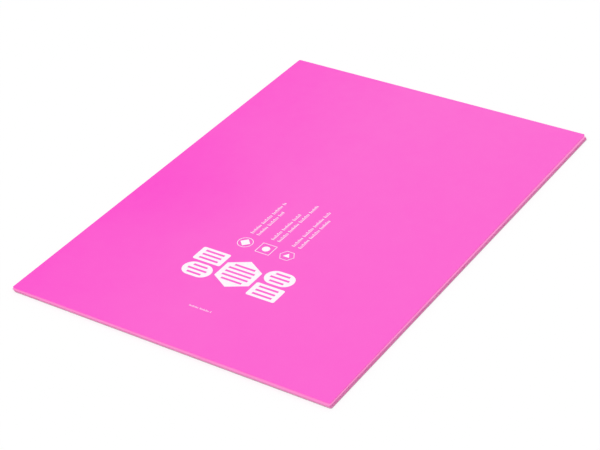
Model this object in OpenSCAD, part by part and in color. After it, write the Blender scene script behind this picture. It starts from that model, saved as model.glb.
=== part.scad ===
// A loosely squared stack of moderation cards, lying flat: a printed cover card,
// a pile of thin film note cards and a plain back card.
// Millimetres. X runs along the short side, Y along the long side, and Z = 0 is the table.
// The origin is under the middle of the whole stack.

/* [Sheet format] */
// Short side of every sheet
sheet_w = 210; // [160:1:420]
// Long side of every sheet
sheet_l = 297; // [230:1:594]
// Radius of the cut corners
corner_r = 1; // [0.1:0.1:8]

/* [Note cards] */
// Number of loose note cards
card_count = 50; // [3:1:56]
// Thickness of one note card
card_t = 0.035; // [0.02:0.005:0.4]
// How far the bottom card lies out towards +X against the top card
lean_x = 0.45; // [0:0.05:8]
// How far the bottom card lies back towards +Y against the top card
lean_y = 0.75; // [0:0.05:8]
// How far the bottom card is turned against the top card, in degrees
lean_turn = 0; // [0:0.01:1]
// Farthest that a card lies out of line, each way
scatter = 0.08; // [0:0.01:2]
// Farthest that a card is turned, each way, in degrees
scatter_turn = 0.015; // [0:0.005:0.5]
// Number that picks one arrangement of the cards
scatter_seed = 11; // [1:1:99]

/* [Cover and back] */
// Thickness of the cover card
cover_t = 0.35; // [0.1:0.05:2]
// How far the cover lies back from the top card's edge on the +X side
cover_back_x = 1.15; // [0:0.05:8]
// How far the cover lies back from the top card's edge on the -Y side
cover_back_y = 1.45; // [0:0.05:8]
// How far the cover is turned against the top card, in degrees
cover_turn = 0.12; // [0:0.01:1]
// Thickness of the back card
back_t = 0.35; // [0.1:0.05:2]

/* [Print on the cover] */
// Thickness of the white ink
ink_t = 0.02; // [0.01:0.01:0.1]
// Clear distance from the cover's front edge to the block of card shapes
block_edge = 57.5; // [50:0.5:80]
// Width of the block of card shapes
block_w = 65; // [50:0.5:100]
// Height of the block of card shapes
block_h = 27; // [20:0.5:32]
// Clear distance between the shapes of the block
block_gap = 2; // [0.5:0.1:4]
// Radius of the corners of the rectangular shapes
shape_r = 1.2; // [0.1:0.1:4]
// Width of the writing lines left clear in the shapes
rule_w = 1.6; // [0.4:0.1:2]
// Clear distance between the writing lines
rule_gap = 1.9; // [0.5:0.1:3]
// Clear distance from the end of a writing line to the side of its shape
rule_end = 3; // [1:0.1:6]
// Least clear distance from the outer writing lines to the top and bottom of their shape
rule_edge = 1.8; // [1:0.1:3]

/* [Signs on the cover] */
// Clear distance from the block to the signs
sign_gap = 9.8; // [2:0.1:20]
// Width of a sign
sign_w = 9.6; // [8:0.1:12]
// Distance from one sign to the next
sign_pitch = 14.3; // [13:0.1:24]
// Line width of the frame around a sign
sign_line = 0.35; // [0.2:0.05:1]
// Width of the figure in a sign
figure_w = 4.8; // [2:0.1:6]

/* [Fine marks on the cover] */
// Clear distance from the signs to the rows of fine marks
row_gap = 4.9; // [1:0.1:12]
// Distance between the two rows of a sign
row_pitch = 4.3; // [2.5:0.1:8]
// Height of a tall mark, across its row
mark_l = 2.1; // [0.6:0.1:2.4]
// Width of a mark, along its row
mark_w = 0.5; // [0.2:0.05:0.9]
// Distance from one mark to the next
mark_pitch = 1.25; // [1:0.05:3]
// Clear distance from the cover's front edge to the small row
small_edge = 33.7; // [5:0.1:45]
// Size of the small row's marks against the others
small_scale = 0.62; // [0.3:0.01:1]

/* [Hidden] */
// Marks in the two rows that run up from each sign, from left to right
row_marks = [[29, 22], [24, 34], [32, 27]];
// Marks in the small row
small_marks = 19;
// Heights of a word's marks against the tall one; one mark is left out after each word
word_marks = [1, 0.7, 0.7, 1, 0.7, 1, 0.75, 0.7];
front = -sheet_l / 2;
cards_z = back_t;
cover_z = cards_z + card_count * card_t;
ink_z = cover_z + cover_t;
block_y = front + block_edge + block_h / 2;
sign_y = block_y + block_h / 2 + sign_gap + sign_w / 2;
row_y = sign_y + sign_w / 2 + row_gap;
small_y = front + small_edge + mark_l * small_scale / 2;
$fn = 48;

function card_name(i) = str("note_card_", i < 10 ? "0" : "", i);

// A place is [x, y, turn]. Card 1 is the top one, and the bottom one has the whole lean.
x_scatter = rands(-scatter, scatter, card_count, scatter_seed);
y_scatter = rands(-scatter, scatter, card_count, scatter_seed + 100);
turns = rands(-scatter_turn, scatter_turn, card_count, scatter_seed + 200);
function lean(i) = (i - 1) / (card_count - 1);
function card_place(i) =
    [
        lean(i) * lean_x + x_scatter[i - 1],
        lean(i) * lean_y + y_scatter[i - 1],
        lean(i) * lean_turn + turns[i - 1]
    ];
cover_place = [-cover_back_x, cover_back_y, cover_turn];
back_place = [lean_x, lean_y, lean_turn];

// The middle of all the sheets, so that the stack stands centred on the origin
places = concat([cover_place, back_place], [for (i = [1 : card_count]) card_place(i)]);
function reach(across, along, turn) =
    (across / 2 - corner_r) * cos(turn) + (along / 2 - corner_r) * abs(sin(turn)) + corner_r;
x_low = min([for (p = places) p[0] - reach(sheet_w, sheet_l, p[2])]);
x_high = max([for (p = places) p[0] + reach(sheet_w, sheet_l, p[2])]);
y_low = min([for (p = places) p[1] - reach(sheet_l, sheet_w, p[2])]);
y_high = max([for (p = places) p[1] + reach(sheet_l, sheet_w, p[2])]);
middle = [(x_low + x_high) / 2, (y_low + y_high) / 2];

module put(place, z) {
    translate([place[0] - middle[0], place[1] - middle[1], z])
        rotate([0, 0, place[2]])
            children();
}

module rounded(w, l, r) {
    square([w - 2 * r, l], center = true);
    square([w, l - 2 * r], center = true);
    for (x = [-1, 1], y = [-1, 1])
        translate([x * (w / 2 - r), y * (l / 2 - r)])
            circle(r);
}

module sheet(t) {
    linear_extrude(height = t)
        rounded(sheet_w, sheet_l, corner_r);
}

module cover_card() {
    color([0.99, 0.4, 0.82])
        put(cover_place, cover_z)
            sheet(cover_t);
}

// The many film cards have faceted corners, which keeps the pile light
module note_card(i) {
    color([0.93, 0.38, 0.72])
        put(card_place(i), cards_z + (card_count - i) * card_t)
            sheet(card_t, $fn = 12);
}

module back_card() {
    color([0.71, 0.65, 0.65])
        put(back_place, 0)
            sheet(back_t);
}

// Clear writing lines, as many as a shape of height h holds; width_at(y) is its width at y from the middle
module rules(h, width_at) {
    pitch = rule_w + rule_gap;
    count = floor((h - 2 * rule_edge + rule_gap) / pitch);
    for (k = [0 : count - 1]) {
        y = (k - (count - 1) / 2) * pitch;
        length = width_at(abs(y) + rule_w / 2) - 2 * rule_end;
        if (length > 2 * rule_w)
            translate([0, y])
                square([length, rule_w], center = true);
    }
}

module rectangle_shape(w, h) {
    difference() {
        rounded(w, h, shape_r);
        rules(h, function(y) w);
    }
}

module oval_shape(w, h) {
    difference() {
        union() {
            square([w - h, h], center = true);
            for (x = [-1, 1])
                translate([x * (w - h) / 2, 0])
                    circle(d = h);
        }
        rules(h, function(y) w - h + 2 * sqrt(h * h / 4 - y * y));
    }
}

module hexagon_shape(h) {
    difference() {
        rotate(30)
            circle(d = h, $fn = 6);
        rules(h, function(y) min(h * cos(30), (h / 2 - y) * 2 * tan(60)));
    }
}

// The block of card shapes: a tall hexagon between rectangles and ovals set crosswise
module shape_block() {
    hexagon_w = block_h * cos(30);
    side_w = (block_w - hexagon_w) / 2 - block_gap;
    side_h = (block_h - block_gap) / 2;
    side_x = (block_w - side_w) / 2;
    side_y = (block_h - side_h) / 2;
    hexagon_shape(block_h);
    for (side = [-1, 1]) {
        translate([side * side_x, -side * side_y])
            rectangle_shape(side_w, side_h);
        translate([side * side_x, side * side_y])
            oval_shape(side_w, side_h);
    }
}

// Three framed signs: a square in a ring, a disc in a square and a triangle in a hexagon
module signs() {
    inner_w = sign_w - 2 * sign_line;
    translate([-sign_pitch, 0]) {
        difference() {
            circle(d = sign_w);
            circle(d = inner_w);
        }
        rotate(45)
            square(figure_w, center = true);
    }
    difference() {
        square(sign_w, center = true);
        square(inner_w, center = true);
    }
    circle(d = figure_w);
    translate([sign_pitch, 0]) {
        difference() {
            circle(d = sign_w, $fn = 6);
            circle(d = inner_w, $fn = 6);
        }
        rotate(90)
            circle(d = figure_w, $fn = 3);
    }
}

// A row of fine marks along +X, tall and short ones on one base line
module mark_row(count) {
    for (k = [0 : count - 1]) {
        place = k % (len(word_marks) + 1);
        if (place < len(word_marks))
            translate([k * mark_pitch, -mark_l / 2])
                square([mark_w, mark_l * word_marks[place]]);
    }
}

module sign_rows() {
    for (s = [0 : 2], r = [0 : 1])
        translate([(s - 1) * sign_pitch + (r - 0.5) * row_pitch, row_y])
            rotate(90)
                mark_row(row_marks[s][r]);
}

module small_row() {
    row_l = (small_marks - 1) * mark_pitch + mark_w;
    scale(small_scale)
        translate([-row_l / 2, 0])
            mark_row(small_marks);
}

module cover_print() {
    color([1, 0.98, 1])
        put(cover_place, ink_z)
            linear_extrude(height = ink_t) {
                translate([0, block_y])
                    shape_block();
                translate([0, sign_y])
                    signs();
                sign_rows();
                translate([0, small_y])
                    small_row();
            }
}

cover_print();
cover_card();
for (i = [1 : card_count]) {
    note_card(i);
}
back_card();
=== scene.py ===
# A stack of pink moderation cards on a white table, seen from above its front corner.
import math
import bpy
from mathutils import Matrix, Vector


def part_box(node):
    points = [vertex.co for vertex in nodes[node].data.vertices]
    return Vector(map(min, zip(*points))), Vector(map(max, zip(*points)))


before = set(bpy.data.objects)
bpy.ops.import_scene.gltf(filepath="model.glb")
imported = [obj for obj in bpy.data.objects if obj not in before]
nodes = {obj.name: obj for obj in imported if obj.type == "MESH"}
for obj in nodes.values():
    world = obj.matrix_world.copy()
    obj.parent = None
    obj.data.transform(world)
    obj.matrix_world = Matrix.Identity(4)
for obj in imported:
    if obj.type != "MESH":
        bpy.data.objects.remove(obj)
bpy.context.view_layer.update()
cardNames = sorted(name for name in nodes if name.startswith("note_card_"))
coverLow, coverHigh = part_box("cover_card")
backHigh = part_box("back_card")[1]
print("frame loaded:", len(nodes), "nodes,", len(cardNames), "note cards")


# Small helpers for the shader trees

noiseBand = (0.3, 0.7)  # nearly all values of a noise lie between these
facingBand = (0.4, 0.6)  # of a normal's share along an axis, from not facing it to facing it


def newMaterial(name):
    mat = bpy.data.materials.new(name)
    mat.use_nodes = True
    tree = mat.node_tree
    return mat, tree, tree.nodes["Principled BSDF"]


# A value is set on the node itself where it has that name, or else on its input
def addNode(tree, kind, **values):
    node = tree.nodes.new(kind)
    for key, value in values.items():
        if hasattr(node, key):
            setattr(node, key, value)
        else:
            node.inputs[key.replace("_", " ")].default_value = value
    return node


def link(tree, fromSocket, toSocket):
    tree.links.new(fromSocket, toSocket)


# A value may be a number, a color or another node's output
def feed(tree, value, socket):
    if isinstance(value, bpy.types.NodeSocket):
        link(tree, value, socket)
    else:
        socket.default_value = value


def doMath(tree, operation, *values):
    node = addNode(tree, "ShaderNodeMath", operation=operation)
    for socket, value in zip(node.inputs, values):
        feed(tree, value, socket)
    return node.outputs[0]


def mixColor(tree, factor, colorA, colorB):
    node = addNode(tree, "ShaderNodeMix", data_type="RGBA")
    for index, value in ((0, factor), (6, colorA), (7, colorB)):  # 6 and 7 are its color inputs
        feed(tree, value, node.inputs[index])
    return node.outputs[2]


def mixShader(tree, factor, first, second):
    node = addNode(tree, "ShaderNodeMixShader")
    for socket, value in zip(node.inputs, (factor, first.outputs[0], second.outputs[0])):
        link(tree, value, socket)
    return node


def objectCoords(tree, scale=(1, 1, 1), place=(0, 0, 0)):
    coords = addNode(tree, "ShaderNodeTexCoord")
    mapping = addNode(tree, "ShaderNodeMapping", Scale=scale, Location=place)
    link(tree, coords.outputs["Object"], mapping.inputs["Vector"])
    return mapping.outputs["Vector"]


def axisPlace(tree, axis):
    split = addNode(tree, "ShaderNodeSeparateXYZ")
    link(tree, objectCoords(tree), split.inputs["Vector"])
    return split.outputs[axis]


def noise(tree, scale, detail, rough, stretch=(1, 1, 1)):
    tex = addNode(tree, "ShaderNodeTexNoise", Scale=scale, Detail=detail, Roughness=rough)
    link(tree, objectCoords(tree, stretch), tex.inputs["Vector"])
    return tex.outputs["Fac"]


def ramp(tree, socket, low, high, outLow=0.0, outHigh=1.0):
    node = addNode(tree, "ShaderNodeMapRange", From_Min=low, From_Max=high, To_Min=outLow, To_Max=outHigh)
    link(tree, socket, node.inputs["Value"])
    return node.outputs["Result"]


# A noise that wanders as far above the middle as below it
def wander(tree, noiseValues, middle, span):
    return ramp(tree, noise(tree, *noiseValues), *noiseBand, middle - span, middle + span)


# How much a face looks along an axis, either way
def facing(tree, axis, most=1.0):
    geometry = addNode(tree, "ShaderNodeNewGeometry")
    split = addNode(tree, "ShaderNodeSeparateXYZ")
    link(tree, geometry.outputs["Normal"], split.inputs["Vector"])
    return ramp(tree, doMath(tree, "ABSOLUTE", split.outputs[axis]), *facingBand, 0, most)


# The color, uneven gloss and fine relief that every card's surface has
def dressSurface(tree, shader, color, values):
    link(tree, color, shader.inputs["Base Color"])
    rough = wander(tree, values["roughNoise"], values["roughness"], values["roughSpan"])
    link(tree, rough, shader.inputs["Roughness"])
    relief = addNode(tree, "ShaderNodeBump", Strength=values["bumpStrength"], Distance=values["bumpHeight"])
    link(tree, noise(tree, *values["bumpNoise"]), relief.inputs["Height"])
    link(tree, relief.outputs["Normal"], shader.inputs["Normal"])


def setMaterial(obj, mat):
    obj.data.materials.clear()
    obj.data.materials.append(mat)


# In all the dictionaries a noise is given by its scale, detail and roughness, and its stretch if it has one.

# Cover card: dyed board with a pink coat above, with painted sheen that pales the coat towards its right
# side, so it is deeper in tone towards its left side

coverValues = {
    "pinkDeep": (0.955, 0.047, 0.592, 1),
    # the paler pink below is the coat's pink with painted sheen on it
    "pinkSheen": (0.955, 0.096, 0.612, 1),
    "leftSheenShare": 0.05,  # of the pink with painted sheen, on the left edge
    "rightSheenShare": 0.95,  # of the pink with painted sheen, on the right half
    "sheenFrom": 0.1,  # where the right half's painted sheen begins, left of the middle, in half widths
    "pinkDeepest": (0.950, 0.015, 0.580, 1),
    "deepestShare": 0.6,  # how much of that tone shows where it is deepest, on the left edge
    "deepestPlace": -0.018,  # that place along the edge, from the middle
    "deepestReach": (0.080, 0.065, 1),  # how far it fades out, across and along the sheet
    "density": 0.08,  # how much the coat varies over a few centimetres
    "densityNoise": (28, 4, 0.55),
    "grain": 0.05,  # and over a millimetre
    "grainNoise": (1100, 3, 0.6),
    "boardCore": (0.91, 0.235, 0.625, 1),
    "coreFibre": (0.88, 0.185, 0.570, 1),
    "fibreNoise": (700, 5, 0.65, (1, 1, 6)),
    "fibreBand": (0.38, 0.62),
    "coatDepth": 0.00004,  # how far the coat reaches down the cut edge
    "coatFade": 0.00002,  # over which it ends
    "roughness": 0.40,
    "roughSpan": 0.04,
    "roughNoise": (160, 3, 0.5),
    "bumpStrength": 0.08,
    "bumpHeight": 0.0001,
    "bumpNoise": (2600, 4, 0.6),
}


def makeCoverMaterial():
    mat, tree, shader = newMaterial("coatedPinkBoard")
    # painted sheen: the pink grows paler from the left edge towards the right half
    across = ramp(tree, axisPlace(tree, "X"), coverLow.x, coverLow.x * coverValues["sheenFrom"],
                  coverValues["leftSheenShare"], coverValues["rightSheenShare"])
    density = wander(tree, coverValues["densityNoise"], 0, coverValues["density"])
    grain = wander(tree, coverValues["grainNoise"], 0, coverValues["grain"])
    tone = doMath(tree, "ADD", across, doMath(tree, "ADD", density, grain))
    pink = mixColor(tree, tone, coverValues["pinkDeep"], coverValues["pinkSheen"])
    reach = coverValues["deepestReach"]
    spotPlace = (-coverLow.x / reach[0], -coverValues["deepestPlace"] / reach[1], 0)
    spot = addNode(tree, "ShaderNodeTexGradient", gradient_type="SPHERICAL")
    link(tree, objectCoords(tree, [1 / size for size in reach], spotPlace), spot.inputs["Vector"])
    share = doMath(tree, "MULTIPLY", spot.outputs["Fac"], coverValues["deepestShare"])
    pink = mixColor(tree, share, pink, coverValues["pinkDeepest"])
    fibre = ramp(tree, noise(tree, *coverValues["fibreNoise"]), *coverValues["fibreBand"])
    core = mixColor(tree, fibre, coverValues["boardCore"], coverValues["coreFibre"])
    coatLine = coverHigh.z - coverValues["coatDepth"]
    coated = ramp(tree, axisPlace(tree, "Z"), coatLine - coverValues["coatFade"], coatLine)
    dressSurface(tree, shader, mixColor(tree, coated, core, pink), coverValues)
    return mat


setMaterial(nodes["cover_card"], makeCoverMaterial())
print("cover card finished")


# Print: opaque white ink

printValues = {
    "white": (0.975, 0.922, 0.970, 1),
    "thin": (0.95, 0.84, 0.925, 1),  # where the pink shows through a little
    "inkNoise": (700, 4, 0.65),
    "inkBand": (0.3, 0.5),  # from thin to fully white
    "roughness": 0.38,
    "roughSpan": 0.06,
    "roughNoise": (300, 3, 0.5),
    "bumpStrength": 0.1,
    "bumpHeight": 0.00005,
    "bumpNoise": (2600, 4, 0.6),
}


def makePrintMaterial():
    mat, tree, shader = newMaterial("whiteInk")
    covered = ramp(tree, noise(tree, *printValues["inkNoise"]), *printValues["inkBand"])
    ink = mixColor(tree, covered, printValues["thin"], printValues["white"])
    dressSurface(tree, shader, ink, printValues)
    return mat


setMaterial(nodes["cover_print"], makePrintMaterial())
print("print finished")


# Note cards: thin pink film, paler than the cover, each a little different in tone at its cut edge, with
# painted shade between the cards and on the long sides

filmValues = {
    "face": (0.955, 0.255, 0.625, 1),
    "faceDeep": (0.945, 0.215, 0.595, 1),
    "cloudNoise": (60, 3, 0.5),
    "edgeDark": (0.70, 0.245, 0.470, 1),
    "edgeLight": (0.93, 0.400, 0.690, 1),
    "streakShare": 0.5,  # of an edge's tone comes from streaks along it, the rest is each card's own
    "streakNoise": (30, 4, 0.6, (1, 1, 60)),
    "paintedGapShade": (0.50, 0.135, 0.310, 1),  # painted shade in the line between two cards
    "gapShadeShare": 0.12,  # of a card's thickness, on each side
    "longEdgeShade": (0.40, 0.240, 0.370, 1),  # painted shade on the long sides
    "longShadeShare": 0.42,  # how much of that painted shade they have
    "roughness": 0.34,
    "roughSpan": 0.05,
    "roughNoise": (220, 3, 0.5),
    "bumpStrength": 0.06,
    "bumpHeight": 0.00005,
    "bumpNoise": (1500, 3, 0.6),
}


def makeFilmMaterial():
    mat, tree, shader = newMaterial("pinkFilm")
    layer = ramp(tree, axisPlace(tree, "Z"), backHigh.z, coverLow.z, 0, len(cardNames))
    cardTone = addNode(tree, "ShaderNodeTexWhiteNoise", noise_dimensions="1D")
    link(tree, doMath(tree, "FLOOR", layer), cardTone.inputs["W"])
    streak = ramp(tree, noise(tree, *filmValues["streakNoise"]), *noiseBand)
    streakTone = doMath(tree, "MULTIPLY", streak, filmValues["streakShare"])
    tone = doMath(tree, "MULTIPLY_ADD", cardTone.outputs["Value"], 1 - filmValues["streakShare"], streakTone)
    edge = mixColor(tree, tone, filmValues["edgeDark"], filmValues["edgeLight"])
    fromLine = doMath(tree, "PINGPONG", layer, 0.5)  # 0 where two cards meet, 0.5 in the middle of one
    # painted shade where two cards meet
    paintedGapShade = ramp(tree, fromLine, 0, filmValues["gapShadeShare"], 1, 0)
    edge = mixColor(tree, paintedGapShade, edge, filmValues["paintedGapShade"])
    # painted shade: the long sides, which face along X, are darkened
    edge = mixColor(tree, facing(tree, "X", filmValues["longShadeShare"]), edge, filmValues["longEdgeShade"])
    cloud = ramp(tree, noise(tree, *filmValues["cloudNoise"]), *noiseBand)
    face = mixColor(tree, cloud, filmValues["face"], filmValues["faceDeep"])
    dressSurface(tree, shader, mixColor(tree, facing(tree, "Z"), edge, face), filmValues)
    return mat


filmMaterial = makeFilmMaterial()
for name in cardNames:
    setMaterial(nodes[name], filmMaterial)
print("note cards finished")


# Back card: plain grey board

backValues = {
    "board": (0.46, 0.375, 0.385, 1),
    "fleckDark": (0.33, 0.26, 0.27, 1),
    "darkNoise": (380, 6, 0.7),
    "darkBand": (0.50, 0.66),  # a lower band gives more flecks
    "fleckPale": (0.60, 0.53, 0.52, 1),
    "paleNoise": (900, 5, 0.7, (1, 0.35, 1)),  # longer along the sheet
    "paleBand": (0.60, 0.70),
    "roughness": 0.85,
    "roughSpan": 0.06,
    "roughNoise": (500, 4, 0.5),
    "bumpStrength": 0.25,
    "bumpHeight": 0.0001,
    "bumpNoise": (1800, 5, 0.6),
}


def makeBackMaterial():
    mat, tree, shader = newMaterial("greyBoard")
    dark = ramp(tree, noise(tree, *backValues["darkNoise"]), *backValues["darkBand"])
    pale = ramp(tree, noise(tree, *backValues["paleNoise"]), *backValues["paleBand"])
    body = mixColor(tree, dark, backValues["board"], backValues["fleckDark"])
    dressSurface(tree, shader, mixColor(tree, pale, body, backValues["fleckPale"]), backValues)
    return mat


setMaterial(nodes["back_card"], makeBackMaterial())
print("back card finished")


# Table, light and camera

stageValues = {
    "white": (1, 1, 1, 1),
    "floorSize": 12.0,
    "floorDrop": 0.00005,  # keeps the floor clear of the back card's lower face
    "floorWhite": (0.985, 0.985, 0.985, 1),
    "floorRoughness": 0.9,
    "shadowShare": 0.35,  # how much of the floor's own shading the camera sees
    "seenStrength": 1.0,  # of the white that the floor and the background show
    "worldStrength": 0.64,
    "sunStrength": 1.48,
    "sunAngle": 60,  # degrees, so that its shadows are soft
    "sunFrom": (0.05, -0.62, 0.85),
}


# 1 on what the camera, a reflection or a glass sees directly, 0 on what only lights the stack
def seenDirectly(tree):
    path = addNode(tree, "ShaderNodeLightPath")
    mirrored = doMath(tree, "MAXIMUM", path.outputs["Is Glossy Ray"], path.outputs["Is Transmission Ray"])
    return doMath(tree, "MAXIMUM", path.outputs["Is Camera Ray"], mirrored)


# 1 on what comes up through the floor, so that a view from below shows the back card
def fromBelow(tree):
    geometry = addNode(tree, "ShaderNodeNewGeometry")
    path = addNode(tree, "ShaderNodeLightPath")
    passedFloor = doMath(tree, "GREATER_THAN", path.outputs["Transparent Depth"], 0.5)
    return doMath(tree, "MAXIMUM", geometry.outputs["Backfacing"], passedFloor)


def makeFloor():
    bpy.ops.object.select_all(action="DESELECT")
    floorPlace = (0, 0, -stageValues["floorDrop"])
    bpy.ops.mesh.primitive_plane_add(size=stageValues["floorSize"], location=floorPlace)
    floor = bpy.context.object
    floor.name = "tableTop"
    mat, tree, shader = newMaterial("whiteTable")
    shader.inputs["Base Color"].default_value = stageValues["floorWhite"]
    shader.inputs["Roughness"].default_value = stageValues["floorRoughness"]
    shader.inputs["Specular IOR Level"].default_value = 0.0  # no gloss
    glow = addNode(tree, "ShaderNodeEmission", Color=stageValues["white"],
                   Strength=stageValues["seenStrength"])
    glowShare = doMath(tree, "MULTIPLY", seenDirectly(tree), 1 - stageValues["shadowShare"])
    table = mixShader(tree, glowShare, shader, glow)
    clear = addNode(tree, "ShaderNodeBsdfTransparent")
    oneSided = mixShader(tree, fromBelow(tree), table, clear)
    link(tree, oneSided.outputs[0], tree.nodes["Material Output"].inputs["Surface"])
    setMaterial(floor, mat)


def makeWorld():
    world = bpy.data.worlds.new("studio")
    bpy.context.scene.world = world
    world.use_nodes = True
    tree = world.node_tree
    light = tree.nodes["Background"]
    light.inputs["Color"].default_value = stageValues["white"]
    light.inputs["Strength"].default_value = stageValues["worldStrength"]
    seen = addNode(tree, "ShaderNodeBackground", Color=stageValues["white"],
                   Strength=stageValues["seenStrength"])
    studio = mixShader(tree, seenDirectly(tree), light, seen)
    link(tree, studio.outputs[0], tree.nodes["World Output"].inputs["Surface"])


def makeSun():
    lamp = bpy.data.lights.new("softKey", "SUN")
    lamp.energy = stageValues["sunStrength"]
    lamp.angle = math.radians(stageValues["sunAngle"])
    sun = bpy.data.objects.new("softKey", lamp)
    bpy.context.scene.collection.objects.link(sun)
    sun.rotation_euler = Vector(stageValues["sunFrom"]).to_track_quat("Z", "Y").to_euler()


cameraValues = {
    "azimuth": 35.047,
    "elevation": 33.701,
    "roll": -3.746,
    "distance": 1.0402,
    "aim": (0.0038, -0.0195),  # from the middle of the cover's face
    "lens": 107.585,
    "frameWidth": 36.0,
}


def makeCamera():
    azimuth = math.radians(cameraValues["azimuth"])
    elevation = math.radians(cameraValues["elevation"])
    back = Vector((math.sin(azimuth) * math.cos(elevation), -math.cos(azimuth) * math.cos(elevation),
                   math.sin(elevation)))
    right = (-back).cross(Vector((0, 0, 1))).normalized()
    upright = Matrix((right, back.cross(right), back)).transposed()
    turn = Matrix.Rotation(math.radians(cameraValues["roll"]), 3, "Z")
    middle = (coverLow + coverHigh) / 2
    target = Vector((middle.x + cameraValues["aim"][0], middle.y + cameraValues["aim"][1], coverHigh.z))
    place = target + back * cameraValues["distance"]
    data = bpy.data.cameras.new("frontCorner")
    data.lens = cameraValues["lens"]
    data.sensor_width = cameraValues["frameWidth"]
    camera = bpy.data.objects.new("frontCorner", data)
    bpy.context.scene.collection.objects.link(camera)
    camera.matrix_world = Matrix.Translation(place) @ (upright @ turn).to_4x4()
    bpy.context.scene.camera = camera


makeFloor()
makeWorld()
makeSun()
makeCamera()
bpy.context.scene.view_settings.view_transform = "Standard"
print("table, light and camera finished")
